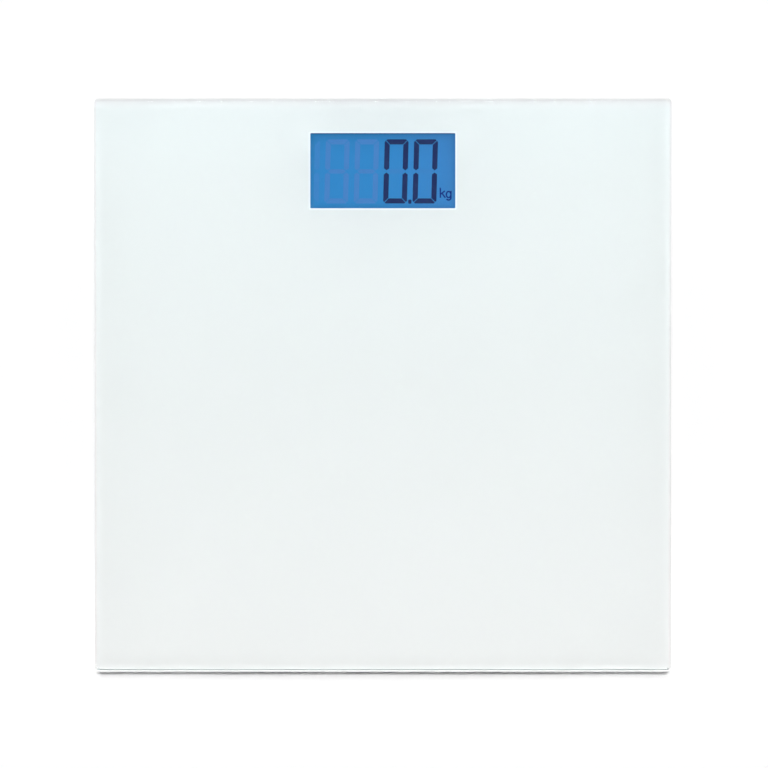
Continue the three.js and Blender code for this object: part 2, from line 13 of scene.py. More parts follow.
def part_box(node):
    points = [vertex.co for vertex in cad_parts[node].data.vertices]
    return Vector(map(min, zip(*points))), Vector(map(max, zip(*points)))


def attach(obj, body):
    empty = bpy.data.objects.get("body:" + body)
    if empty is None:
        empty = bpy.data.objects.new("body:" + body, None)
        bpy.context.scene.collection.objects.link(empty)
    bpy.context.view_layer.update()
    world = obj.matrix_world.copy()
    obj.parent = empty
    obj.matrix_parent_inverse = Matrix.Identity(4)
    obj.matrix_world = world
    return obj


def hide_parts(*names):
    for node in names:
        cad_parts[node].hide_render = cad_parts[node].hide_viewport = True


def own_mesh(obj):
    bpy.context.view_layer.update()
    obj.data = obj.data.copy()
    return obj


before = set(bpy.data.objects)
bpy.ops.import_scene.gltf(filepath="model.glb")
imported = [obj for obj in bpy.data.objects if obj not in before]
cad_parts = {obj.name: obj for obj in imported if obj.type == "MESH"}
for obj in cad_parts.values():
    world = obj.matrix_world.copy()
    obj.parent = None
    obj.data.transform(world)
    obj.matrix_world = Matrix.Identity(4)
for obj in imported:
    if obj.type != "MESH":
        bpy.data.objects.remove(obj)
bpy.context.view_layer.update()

SCENE = bpy.context.scene
MM = 0.001
CORNERS = ["front_left", "front_right", "rear_left", "rear_right"]

# ---- Places that the frame gives ----

GLASS_LOW, GLASS_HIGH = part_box("glass_platform")
COAT_LOW, COAT_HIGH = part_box("back_print")
LCD_LOW, LCD_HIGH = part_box("lcd_panel")
SHELL_LOW, SHELL_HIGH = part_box("display_housing")
COVER_LOW, COVER_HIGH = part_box("housing_cover")
DOOR_LOW, DOOR_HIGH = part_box("battery_door")
BUTTON_LOW, BUTTON_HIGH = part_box("unit_button")

LCD_CENTRE = (LCD_LOW + LCD_HIGH) / 2
LCD_FACE = LCD_HIGH.z

# ---- Driving sizes of what only this script draws ----

GLASS_CHAMFER = 1.0 * MM
GLASS_CORNER = 2.0 * MM
WINDOW = (75.4 * MM, 39.3 * MM)
COAT_SINK = 0.02 * MM
RIM = 0.9 * MM

DIGIT = {"width": 12.4 * MM, "height": 33.55 * MM, "stroke": 2.68 * MM, "pitch": 15.3 * MM}
DIGIT_LEAN = 0.027
DIGIT_GAP = 0.3 * MM
LAST_DIGIT = (22.05 * MM, -0.49 * MM)
POINT_SIZE = (1.7 * MM, 2.2 * MM)
POINT_SHIFT = (-0.37 * MM, 0.95 * MM)
UNIT_PLACE = (29.9 * MM, -14.27 * MM)
UNIT_STROKE_MM = 0.73
INK_DEPTH = 0.03 * MM

THROAT_RADIUS = 20.6 * MM
RING_RADIUS = 20 * MM
PAD_RADIUS = 21 * MM
GRIP_RINGS = (6 * MM, 11 * MM, 16 * MM)
CELL_SIZE = 34 * MM

WALL = 2 * MM
ROOF = 1.3 * MM
COVER_FLOOR = 1.6 * MM
SCREW_PLACES = [(x, y) for y in (63 * MM, 136 * MM) for x in (-57 * MM, 57 * MM)]
BOARD_SCREW_PLACES = [(-46 * MM, 91 * MM), (46 * MM, 132 * MM)]
# A screw's head radius, head height and shank radius.
HOUSING_SCREW = (2.6 * MM, 1.6 * MM, 1.3 * MM)
BOARD_SCREW = (1.9 * MM, 1.2 * MM, 1 * MM)
# A screw post's radius and bottom, and its pilot hole's radius and top.
HOUSING_POST = (3.2 * MM, COVER_HIGH.z, 1.6 * MM, 14.9 * MM)
BOARD_POST = (2.5 * MM, 11.1 * MM, 1.3 * MM, 15.1 * MM)
DOOR_HALF = 27 * MM
TONGUE_HALF = 28.5 * MM
TONGUE_BOTTOM = 5.9 * MM

WIRE_RADIUS = 0.6 * MM
FRONT_PORT = 45 * MM
LEAD_INSIDE = {"front": 31.5 * MM, "rear": 14.5 * MM}

# Lamps: strength, then degrees across and degrees from overhead towards +Y.
KEY = (1.78, 4.0, 16.8)
KEY_HALO = (1.16, 16.0, 22.0)
# The sky's brightness, each a (height of the direction, level).
SKY_LEVELS = [(0.08, 1.0), (0.22, 0.22), (0.80, 0.16), (0.95, 0.05)]
CAMERA = {"width": 399.55 * MM, "lens": 1000, "lean": 6.85, "across": 0.6 * MM, "up": 1.1 * MM}


# ---- Mesh building ----


def new_mesh(name, verts, faces):
    mesh = bpy.data.meshes.new(name)
    mesh.from_pydata([tuple(v) for v in verts], [], faces)
    mesh.validate()
    return mesh


def new_object(name, data):
    """An object in the scene, made of a mesh, lamp or camera."""
    obj = bpy.data.objects.new(name, data)
    SCENE.collection.objects.link(obj)
    return obj


def piece(name, shape, slot, *replaced, body="platform"):
    """A mesh object that rides on a body and stands for some CAD nodes. Its slot is not used."""
    return adopt(new_mesh(name, *shape), slot, *replaced, body=body)


def adopt(mesh, slot, *replaced, body="platform"):
    """A piece of an existing mesh."""
    obj = new_object(mesh.name, mesh)
    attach(obj, body)
    if replaced:
        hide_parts(*replaced)
    return obj


def paint(obj, *materials):
    obj.data.materials.clear()
    for material in materials:
        obj.data.materials.append(material)


def smooth(obj, angle=32):
    """Smooth faces that meet at less than an angle, in degrees, and sharp edges elsewhere."""
    obj.data.shade_smooth()
    obj.data.set_sharp_from_angle(angle=math.radians(angle))
    return obj


def outline(width, depth, radius, centre=(0, 0), steps=12):
    """Corners of a rounded rectangle, anticlockwise."""
    points = []
    for quarter, (side_x, side_y) in enumerate([(1, 1), (-1, 1), (-1, -1), (1, -1)]):
        for step in range(steps + 1):
            angle = (quarter + step / steps) * math.pi / 2
            points.append((
                centre[0] + side_x * (width / 2 - radius) + radius * math.cos(angle),
                centre[1] + side_y * (depth / 2 - radius) + radius * math.sin(angle),
            ))
    return points


def loft(layers):
    """(verts, faces) of a closed solid through rings of equal length, each a (z, ring)."""
    count = len(layers[0][1])
    verts = [(x, y, z) for z, ring in layers for x, y in ring]
    faces = [tuple(reversed(range(count)))]
    for layer in range(len(layers) - 1):
        for i in range(count):
            a, b = layer * count + i, layer * count + (i + 1) % count
            faces.append((a, b, b + count, a + count))
    faces.append(tuple(range((len(layers) - 1) * count, len(layers) * count)))
    return verts, faces


def rounded(profile, steps=5):
    """A profile of (a, b, radius) corners as (a, b) points, each corner turned to an arc."""
    points = []
    for i, (a, b, radius) in enumerate(profile):
        here = Vector((a, b))
        if radius == 0 or i in (0, len(profile) - 1):
            points.append(here)
            continue
        back = (Vector(profile[i - 1][:2]) - here).normalized()
        ahead = (Vector(profile[i + 1][:2]) - here).normalized()
        half = back.angle(ahead) / 2
        reach = radius / math.tan(half)
        centre = here + (back + ahead).normalized() * radius / math.sin(half)
        start, end = here + back * reach - centre, here + ahead * reach - centre
        sweep = start.angle_signed(end)
        for step in range(steps + 1):
            turn = Matrix.Rotation(-sweep * step / steps, 2)
            points.append(centre + turn @ start)
    return [(p.x, p.y) for p in points]


def turned(profile, centre=(0, 0), steps=96):
    """(verts, faces) of a profile of (radius, z) points, turned about an upright axis."""
    verts, rings = [], []
    for radius, z in profile:
        if radius < 1e-7:
            rings.append([len(verts)] * steps)
            verts.append((centre[0], centre[1], z))
            continue
        rings.append(list(range(len(verts), len(verts) + steps)))
        for i in range(steps):
            angle = 2 * math.pi * i / steps
            verts.append((
                centre[0] + radius * math.cos(angle), centre[1] + radius * math.sin(angle), z,
            ))
    faces = []
    for low, high in zip(rings, rings[1:]):
        for i in range(steps):
            j = (i + 1) % steps
            corners = [low[i], low[j], high[j], high[i]]
            face = [c for k, c in enumerate(corners) if c != corners[k - 1]]
            if len(face) > 2:
                faces.append(tuple(face))
    return verts, faces


def box(low, high):
    """(verts, faces) of a box between two corners."""
    ring = [(low[0], low[1]), (high[0], low[1]), (high[0], high[1]), (low[0], high[1])]
    return loft([(low[2], ring), (high[2], ring)])


def cylinder(centre, radius, low, high, steps=48):
    return turned([(0, low), (radius, low), (radius, high), (0, high)], centre, steps)


def moved(shape, matrix):
    verts, faces = shape
    return [matrix @ Vector(v) for v in verts], faces


def joined(*shapes):
    """Several shapes as one."""
    verts, faces = [], []
    for more_verts, more_faces in shapes:
        start = len(verts)
        verts += list(more_verts)
        faces += [tuple(start + i for i in face) for face in more_faces]
    return verts, faces


def heading(points, i):
    """The direction of a path at its point i."""
    return (points[min(i + 1, len(points) - 1)] - points[max(i - 1, 0)]).normalized()


def tube(points, radius, sides=12):
    """(verts, faces) of a round wire along points."""
    points = [Vector(p) for p in points]
    verts, faces = [], []
    across = None
    for i, point in enumerate(points):
        ahead = heading(points, i)
        if across is None:
            across = ahead.orthogonal()
        across = (across - ahead * across.dot(ahead)).normalized()
        up = ahead.cross(across)
        for side in range(sides):
            angle = 2 * math.pi * side / sides
            verts.append(point + radius * (across * math.cos(angle) + up * math.sin(angle)))
    for i in range(len(points) - 1):
        for side in range(sides):
            a, b = i * sides + side, i * sides + (side + 1) % sides
            faces.append((a, b, b + sides, a + sides))
    faces.append(tuple(reversed(range(sides))))
    faces.append(tuple(range(len(verts) - sides, len(verts))))
    return verts, faces


def combine(obj, operation, *shapes):
    """Adds shapes to an object's mesh or cuts them from it."""
    tools = [new_object("tool", new_mesh("tool", *shape)) for shape in shapes]
    for tool in tools:
        modifier = obj.modifiers.new("combine", "BOOLEAN")
        modifier.operation = operation
        modifier.solver = "EXACT"
        modifier.object = tool
    apply_modifiers(obj)
    for tool in tools:
        mesh = tool.data
        bpy.data.objects.remove(tool)
        bpy.data.meshes.remove(mesh)


def apply_modifiers(obj):
    """Applies an object's modifiers, and welds the seams that they leave."""
    depsgraph = bpy.context.evaluated_depsgraph_get()
    made = bpy.data.meshes.new_from_object(obj.evaluated_get(depsgraph))
    old = obj.data
    obj.modifiers.clear()
    obj.data = made
    bpy.data.meshes.remove(old)
    bm = bmesh.new()
    bm.from_mesh(made)
    bmesh.ops.remove_doubles(bm, verts=bm.verts, dist=0.001 * MM)
    bmesh.ops.dissolve_degenerate(bm, dist=0.001 * MM, edges=bm.edges)
    bm.to_mesh(made)
    bm.free()


def ease_edges(obj, width):
    """Rounds every edge that is sharper than 40 degrees."""
    modifier = obj.modifiers.new("ease", "BEVEL")
    modifier.width = width
    modifier.segments = 2
    modifier.limit_method = "ANGLE"
    modifier.angle_limit = math.radians(40)
    modifier.use_clamp_overlap = True
    apply_modifiers(obj)
    smooth(obj)


# ---- Materials ----


def set_stops(color_ramp, stops):
    """Gives a colour ramp its stops, each a (position, colour)."""
    elements = color_ramp.elements
    while len(elements) < len(stops):
        elements.new(1.0)
    while len(elements) > len(stops):
        elements.remove(elements[-1])
    for element, (position, color) in zip(elements, stops):
        element.position = position
        element.color = (*color, 1)


class Nodes:
    """A material's node tree, with short ways to add nodes."""

    def __init__(self, name):
        self.material = bpy.data.materials.new(name)
        self.material.use_nodes = True
        self.tree = self.material.node_tree
        self.shader = self.tree.nodes["Principled BSDF"]
        self.output = self.tree.nodes["Material Output"]

    def add(self, kind, **values):
        node = self.tree.nodes.new("ShaderNode" + kind)
        for key, value in values.items():
            if key in node.inputs:
                node.inputs[key].default_value = value
            else:
                setattr(node, key, value)
        return node

    def link(self, source, target):
        self.tree.links.new(source, target)

    def set(self, **values):
        for key, value in values.items():
            self.shader.inputs[key.replace("_", " ")].default_value = value

    def place(self):
        """The point's place in the row frame, in metres."""
        return self.add("TexCoord").outputs["Object"]

    def along(self, axis):
        """The point's place along an axis, in metres."""
        split = self.add("SeparateXYZ")
        self.link(self.place(), split.inputs[0])
        return split.outputs[axis]

    def rearward(self):
        """The point's place between the platform's front edge, 0, and its rear edge, 1."""
        return self.spread(self.along("Y"), 0, 1, GLASS_LOW.y, GLASS_HIGH.y)

    def off_window(self, reach):
        """How far the point is from the window's rear edge: 0 on it, 1 at a reach and beyond."""
        steps = [
            ("SUBTRACT", (LCD_CENTRE.x, LCD_CENTRE.y + WINDOW[1] / 2, 0)),
            ("ABSOLUTE", (0, 0, 0)),
            ("SUBTRACT", (WINDOW[0] / 2, 0, GLASS_HIGH.z)),
            ("MAXIMUM", (0, 0, 0)),
            ("LENGTH", (0, 0, 0)),
        ]
        value = self.place()
        for operation, operand in steps:
            node = self.add("VectorMath", operation=operation)
            self.link(value, node.inputs[0])
            node.inputs[1].default_value = operand
            value = node.outputs["Value" if operation == "LENGTH" else "Vector"]
        return self.spread(value, 0, 1, 0, reach)

    def noise(self, size, detail=3, stretch=(1, 1, 1)):
        """Noise whose features are about a size, in metres."""
        mapping = self.add("Mapping", Scale=[s / size for s in stretch])
        self.link(self.place(), mapping.inputs["Vector"])
        noise = self.add("TexNoise", Detail=detail, Scale=1)
        self.link(mapping.outputs["Vector"], noise.inputs["Vector"])
        return noise.outputs["Fac"]

    def ramp(self, factor, *stops):
        """Colours between stops, each a (position, colour)."""
        node = self.add("ValToRGB")
        set_stops(node.color_ramp, stops)
        self.link(factor, node.inputs["Fac"])
        return node.outputs["Color"]

    def shades(self, factor, color, amount, start=0.3, end=0.7):
        """A colour, from a little darker to a little lighter as a factor grows."""
        dark, light = (tuple(min(1, c * k) for c in color) for k in (1 - amount, 1 + amount))
        return self.ramp(factor, (start, dark), (end, light))

    def spread(self, value, low, high, start=0, end=1):
        """A value between start and end as a number between low and high."""
        node = self.add("MapRange", **{
            "From Min": start, "From Max": end, "To Min": low, "To Max": high,
        })
        self.link(value, node.inputs["Value"])
        return node.outputs["Result"]

    def math(self, operation, first, second=None, clamp=False):
        node = self.add("Math", operation=operation, use_clamp=clamp)
        for value, socket in zip((first, second), node.inputs):
            if isinstance(value, (int, float)):
                socket.default_value = value
            elif value is not None:
                self.link(value, socket)
        return node.outputs[0]

    def scaled(self, color, factor):
        node = self.add("VectorMath", operation="SCALE")
        self.link(color, node.inputs[0])
        self.link(factor, node.inputs["Scale"])
        return node.outputs["Vector"]

    def color(self, socket):
        self.link(socket, self.shader.inputs["Base Color"])

    def roughness(self, factor, low, high):
        self.link(self.spread(factor, low, high), self.shader.inputs["Roughness"])

    def bump(self, height, strength, distance):
        node = self.add("Bump", Strength=strength, Distance=distance)
        self.link(height, node.inputs["Height"])
        self.link(node.outputs["Normal"], self.shader.inputs["Normal"])


def moulded(name, color, roughness=0.5, grain=0.35 * MM, depth=0.012 * MM, amount=0.02):
    """Moulded plastic: fine grain, with faint flow marks in its colour and gloss."""
    nodes = Nodes(name)
    nodes.color(nodes.shades(nodes.noise(14 * MM), color, amount))
    nodes.roughness(nodes.noise(2 * MM), roughness - 0.06, roughness + 0.06)
    nodes.bump(nodes.noise(grain, detail=4), 0.5, depth)
    nodes.set(IOR=1.5)
    return nodes.material


def rubber(name, color):
    """Moulded rubber: matte, speckled, with a soft sheen."""
    nodes = Nodes(name)
    nodes.color(nodes.shades(nodes.noise(1.1 * MM), color, 0.08, 0.35, 0.65))
    nodes.roughness(nodes.noise(5 * MM), 0.72, 0.9)
    nodes.bump(nodes.noise(0.25 * MM, detail=5), 0.7, 0.02 * MM)
    nodes.set(Sheen_Weight=0.15, Sheen_Roughness=0.5)
    return nodes.material


def foam(name, color):
    """Closed-cell foam: fine pits over an uneven matte skin."""
    nodes = Nodes(name)
    cells = nodes.add("TexVoronoi", Scale=1 / (0.35 * MM))
    nodes.link(nodes.place(), cells.inputs["Vector"])
    nodes.color(nodes.shades(cells.outputs["Distance"], color, 0.1, 0.1, 0.6))
    nodes.bump(cells.outputs["Distance"], 0.6, 0.05 * MM)
    nodes.set(Roughness=0.95)
    return nodes.material


def metal(name, color, roughness, brush=(1, 1, 1), size=0.4 * MM):
    """Bare metal with the marks of its finishing."""
    nodes = Nodes(name)
    marks = nodes.noise(size, detail=5, stretch=brush)
    nodes.color(nodes.shades(marks, color, 0.06))
    nodes.roughness(marks, roughness - 0.08, roughness + 0.08)
    nodes.bump(marks, 0.3, 0.01 * MM)
    nodes.set(Metallic=1.0)
    return nodes.material


def clear_glass(name, *tints_and_painted_light, roughness=0.0):
    """Float glass: clear through its thickness, green along its length.

    Tints, if any, follow each other from the front edge to the rear, each a (position, colour), and
    paint light and shade where they change.
    """
    nodes = Nodes(name)
    nodes.set(Transmission_Weight=1.0, Roughness=roughness, IOR=1.52, Base_Color=(1, 1, 1, 1))
    if tints_and_painted_light:
        # Painted light and shade from the front edge to the rear, where tints are given.
        nodes.color(nodes.ramp(nodes.rearward(), *tints_and_painted_light))
    absorb = nodes.add("VolumeAbsorption", Density=9.0)
    absorb.inputs["Color"].default_value = (0.62, 0.93, 0.88, 1)
    nodes.link(absorb.outputs["Volume"], nodes.output.inputs["Volume"])
    return nodes.material


def white_coat(name, *shades, amount=0.008):
    """Fired enamel, faintly cloudy. Its shades run from the front edge to the rear; where they
    change, they are painted light and shade.

    Behind the window it is painted a little lighter, as painted light for the glass bringing it
    less light from its sides.
    """
    window_reach, painted_light_at_window = 15 * MM, 1.048
    nodes = Nodes(name)
    # Painted light and shade, from the front edge to the rear.
    hue_and_light = nodes.ramp(nodes.rearward(), *shades)
    cloud = nodes.spread(nodes.noise(60 * MM, detail=2), 1 - amount, 1 + amount)
    # Painted light, lighter near the window's rear edge.
    painted_window_light = nodes.spread(nodes.off_window(window_reach), painted_light_at_window, 1)
    nodes.color(nodes.scaled(hue_and_light, nodes.math("MULTIPLY", cloud, painted_window_light)))
    nodes.roughness(nodes.noise(3 * MM), 0.45, 0.6)
    nodes.bump(nodes.noise(0.4 * MM, detail=4), 0.15, 0.01 * MM)
    return nodes.material


def glow(nodes, color):
    """The material, with a colour socket as its light."""
    nodes.link(color, nodes.shader.inputs["Emission Color"])
    nodes.set(Emission_Strength=1.0, Base_Color=(0.003, 0.005, 0.008, 1), Roughness=0.1,
              Specular_IOR_Level=0.2)
    return nodes.material


def window_place(nodes):
    """The place across and up the window: 0 in the middle, 1 at the right and rear edge."""
    across = nodes.math("DIVIDE", nodes.along("X"), WINDOW[0] / 2)
    offset = nodes.math("SUBTRACT", nodes.along("Y"), LCD_CENTRE.y)
    return across, nodes.math("DIVIDE", offset, WINDOW[1] / 2)


def edge_dimming_and_shadow(nodes, across, upward):
    """How much dimmer the display is round its edges, most of all at the top, where it is painted
    shadow of the window's edge.
    """
    slope_start, shadow_start, shadow_end = 0.55, 0.95, 0.975
    edge_x = nodes.math("POWER", nodes.math("ABSOLUTE", across), 14.0)
    edge_y = nodes.math("POWER", nodes.math("ABSOLUTE", upward), 10.0)
    edge = nodes.math("MAXIMUM", edge_x, edge_y, clamp=True)
    slope = nodes.math("SMOOTH_MAX", nodes.math("SUBTRACT", upward, slope_start), 0.0)
    # Painted shadow of the window's edge, darkening the top of the display and its top edge most.
    top = nodes.math("ADD", slope, nodes.spread(upward, 0, 1, shadow_start, shadow_end))
    return nodes.math("ADD", nodes.math("MULTIPLY", edge, 0.22), nodes.math("MULTIPLY", top, 0.3))


def backlit_face(name):
    """The lit face of the display: brightest in the middle and right, dimmer towards its edges,
    with painted shadow across its top.
    """
    brightness, cloudiness = 0.96, 0.08
    nodes = Nodes(name)
    across, upward = window_place(nodes)
    dim = edge_dimming_and_shadow(nodes, across, upward)
    cloud = nodes.math("MULTIPLY", nodes.noise(9 * MM, detail=2), cloudiness)
    lit = nodes.math("SUBTRACT", nodes.math("ADD", brightness, cloud), dim, clamp=True)
    hue_and_light = nodes.ramp(nodes.spread(across, 0.5, 1.0), (0.0, (0.013, 0.260, 0.615)),
                     (1.0, (0.045, 0.239, 0.606)))
    return glow(nodes, nodes.scaled(hue_and_light, lit))


def ink(name, color, amount=0.06):
    """A liquid-crystal segment: its colour is what the backlight leaves of it."""
    nodes = Nodes(name)
    return glow(nodes, nodes.shades(nodes.noise(5 * MM, detail=2), color, amount))


WHITE_ABS = moulded("white_abs", (0.76, 0.79, 0.80))
GREY_ABS = moulded("grey_abs", (0.52, 0.55, 0.57), roughness=0.55)
PAD_RUBBER = rubber("pad_rubber", (0.30, 0.32, 0.33))
SILICONE = rubber("silicone", (0.12, 0.13, 0.14))
WIRE_VINYL = moulded("wire_vinyl", (0.28, 0.30, 0.32), roughness=0.4, grain=0.6 * MM)
WHITE_FOAM = foam("white_foam", (0.68, 0.70, 0.70))
BLACK_FOAM = foam("black_foam", (0.02, 0.022, 0.025))
SPRING_STEEL = metal("spring_steel", (0.36, 0.38, 0.39), 0.38, brush=(0.1, 1, 1))
ZINC = metal("zinc", (0.48, 0.51, 0.53), 0.3)
NICKEL = metal("nickel", (0.58, 0.56, 0.50), 0.22)
ALUMINIUM = metal("aluminium", (0.41, 0.45, 0.49), 0.3)
GLASS = clear_glass("float_glass")
# Ground edges, greyer than clear glass; lighter along the front edge as painted light and darker
# along the rear as painted shade.
GROUND_EDGE = clear_glass("ground_edge", (0, (1, 0.98, 0.98)), (0.03, (0.84, 0.77, 0.78)),
                          (0.97, (0.84, 0.77, 0.78)), (1, (0.78, 0.73, 0.74)), roughness=0.15)
# The coat's shades are painted light and shade: cooler and lighter towards the rear, with painted
# shade along the front and rear edges.
COAT = white_coat("enamel", (0.006, (0.523, 0.520, 0.521)), (0.028, (0.559, 0.556, 0.557)),
                  (0.5, (0.541, 0.552, 0.555)), (0.86, (0.549, 0.572, 0.578)),
                  (0.983, (0.560, 0.592, 0.602)), (0.997, (0.545, 0.545, 0.558)))
# Painted light: the rim round the window is lighter than the coat.
COAT_PAINTED_LIGHT_RIM = white_coat("enamel_painted_light_rim", (0, (0.590, 0.638, 0.676)))
BACKING = white_coat("backing", (0, (0.30, 0.31, 0.32)), amount=0.05)
LIT_FACE = backlit_face("lcd_face")
LIT_INK = ink("lcd_ink", (0.012, 0.024, 0.108))
GHOST_INK = ink("lcd_ghost", (0.062, 0.230, 0.585), 0.02)
FAINT_INK = ink("lcd_faint_ghost", (0.043, 0.234, 0.590), 0.02)
UNIT_INK = ink("lcd_unit_ink", (0.006, 0.028, 0.215))
BOARD_GREEN = moulded("solder_mask", (0.012, 0.105, 0.045), roughness=0.3, grain=3 * MM)
EPOXY = moulded("epoxy", (0.008, 0.009, 0.011), roughness=0.25, grain=2 * MM)
IVORY = moulded("ivory_nylon", (0.84, 0.80, 0.70))
ACRYLIC = moulded("acrylic", (0.72, 0.84, 0.95), roughness=0.1, grain=4 * MM)
LED_WHITE = moulded("led_white", (0.90, 0.89, 0.72), roughness=0.2)
CELL_WRAP = moulded("cell_wrap", (0.035, 0.05, 0.07), roughness=0.28, grain=5 * MM)


# ---- Platform ----


def glass_slab():
    """The pane, with polished faces and ground, chamfered edges."""
    size = GLASS_HIGH.x - GLASS_LOW.x
    ease, face, low, high = 0.2 * MM, GLASS_CHAMFER + 2 * MM, GLASS_LOW.z, GLASS_HIGH.z
    profile = [
        (face, low, 0), (GLASS_CHAMFER, low, ease), (0, low + GLASS_CHAMFER, ease),
        (0, high - GLASS_CHAMFER, ease), (GLASS_CHAMFER, high, ease), (face, high, 0),
    ]
    layers = []
    for inset, z in rounded(profile, steps=4):
        radius = GLASS_CORNER - inset if inset < 1.5 * GLASS_CHAMFER else GLASS_CORNER
        layers.append((z, outline(size - 2 * inset, size - 2 * inset, radius)))
    slab = piece("glass_slab", loft(layers), "clear_glass", "glass_platform")
    slab.visible_shadow = False
    paint(smooth(slab, 25), GLASS, GROUND_EDGE)
    for polygon in slab.data.polygons:
        polygon.material_index = 0 if abs(polygon.normal.z) > 0.99 else 1


def coat_ring(name, outer, inner, material, *replaced):
    """A flat ring of the coat, between two outlines of equal length.

    It reaches a little into the glass, because enamel is fired on.
    """
    count = len(outer)
    levels = (COAT_LOW.z, COAT_HIGH.z + COAT_SINK)
    verts = [(x, y, z) for z in levels for ring in (outer, inner) for x, y in ring]
    faces = []
    for i in range(count):
        j = (i + 1) % count
        low_out, low_in, high_out, high_in = (
            (k * count + i, k * count + j) for k in range(4)
        )
        faces += [
            (low_out[1], low_out[0], low_in[0], low_in[1]),
            (high_out[0], high_out[1], high_in[1], high_in[0]),
            (low_out[0], low_out[1], high_out[1], high_out[0]),
            (low_in[1], low_in[0], high_in[0], high_in[1]),
        ]
    ring = piece(name, (verts, faces), "white_coat", *replaced)
    paint(ring, material, BACKING)
    for face in ring.data.polygons:
        face.material_index = 0 if face.normal.z > 0.5 else 1


def window_outline(grow):
    return outline(WINDOW[0] + 2 * grow, WINDOW[1] + 2 * grow, 0.5 * MM + grow,
                   (LCD_CENTRE.x, LCD_CENTRE.y))


def back_coat():
    """The coat under the glass, with a rim round the window painted lighter as painted light."""
    size = COAT_HIGH.x - COAT_LOW.x
    edge = outline(size, size, GLASS_CORNER)
    coat_ring("back_coat", edge, window_outline(RIM), COAT, "back_print")
    coat_ring("window_painted_light_rim", window_outline(RIM), window_outline(0), COAT_PAINTED_LIGHT_RIM)


# ---- Display ----


def segment_outlines():
    """The seven segments of a digit about its middle, by name, with mitred and pointed ends."""
    x, y = DIGIT["width"] / 2, DIGIT["height"] / 2
    stroke = DIGIT["stroke"]
    corner = 0.5 * stroke
    gap = DIGIT_GAP / math.sqrt(8)
    tip = 0.55 * MM
    shoulder = tip + 0.4 * stroke

    def mirrored(shape, across, up):
        return [(a * across, b * up) for a, b in shape]

    top_right = [(x - corner, y), (x - corner / 2 - gap, y - corner / 2 + gap),
                 (x - stroke - 2 * gap, y - stroke)]
    top = top_right + mirrored(reversed(top_right), -1, 1)
    side = [(x, y - corner), (x - corner / 2 + gap, y - corner / 2 - gap),
            (x - stroke, y - stroke - 2 * gap), (x - stroke, shoulder),
            (x - stroke / 2, tip), (x, shoulder)]
    half = 0.42 * stroke
    reach = x - stroke / 2 - 2 * gap
    middle_right = [(reach - half, half), (reach, 0), (reach - half, -half)]
    middle = middle_right + mirrored(middle_right, -1, -1)
    return {
        "top": top, "bottom": mirrored(top, 1, -1), "middle": middle,
        "upper_right": side, "lower_right": mirrored(side, 1, -1),
        "upper_left": mirrored(side, -1, 1), "lower_left": mirrored(side, -1, -1),
    }


def flat_ink(name, shapes, material, depth=INK_DEPTH):
    """Thin prisms on the display's face, from outlines about the display's middle."""
    bm = bmesh.new()
    for shape in shapes:
        ring = [bm.verts.new((LCD_CENTRE.x + a, LCD_CENTRE.y + b, LCD_FACE)) for a, b in shape]
        made = bmesh.ops.extrude_face_region(bm, geom=[bm.faces.new(ring)])["geom"]
        lifted = [v for v in made if isinstance(v, bmesh.types.BMVert)]
        bmesh.ops.translate(bm, verts=lifted, vec=(0, 0, depth))
    bmesh.ops.recalc_face_normals(bm, faces=bm.faces)
    mesh = bpy.data.meshes.new(name)
    bm.to_mesh(mesh)
    bm.free()
    paint(adopt(mesh, "lcd_glass"), material)


def digit_shapes(names, x):
    """Outlines of named segments of the digit at x, leaning a little."""
    segments = segment_outlines()
    return [
        [(x + a + DIGIT_LEAN * b, LAST_DIGIT[1] + b) for a, b in segments[name]] for name in names
    ]


def arc(centre, radii, start, end, steps=16):
    """Points of an elliptical arc between two angles, in degrees."""
    angles = [math.radians(start + (end - start) * i / steps) for i in range(steps + 1)]
    return [
        (centre[0] + radii[0] * math.cos(a), centre[1] + radii[1] * math.sin(a)) for a in angles
    ]


def ribbon(points, width):
    """The outline of a stroke of even width along points."""
    points = [Vector(point) for point in points]
    left, right = [], []
    for i, point in enumerate(points):
        ahead = heading(points, i)
        across = Vector((-ahead.y, ahead.x)) * width / 2
        left.append(point + across)
        right.append(point - across)
    return left + right[::-1]


def unit_text():
    """The letters kg, drawn in millimetres from the start of their baseline."""
    stem, bowl, hook = 5.5, (4.3, 1.7), (4.3, 0.0)
    strokes = [
        [(0, 0), (0, 5.2)],
        [(0, 1.7), (2.35, 3.6)],
        [(0.9, 2.3), (2.6, 0)],
        arc(bowl, (1.2, 1.6), 20, 340),
        [(stem, 3.6), *arc(hook, (stem - hook[0], 1.2), 0, -150)],
    ]
    ribbons = [ribbon(points, UNIT_STROKE_MM) for points in strokes]
    shapes = [
        [(UNIT_PLACE[0] + x * MM, UNIT_PLACE[1] + y * MM) for x, y in shape] for shape in ribbons
    ]
    flat_ink("lcd_unit_text", shapes, UNIT_INK)


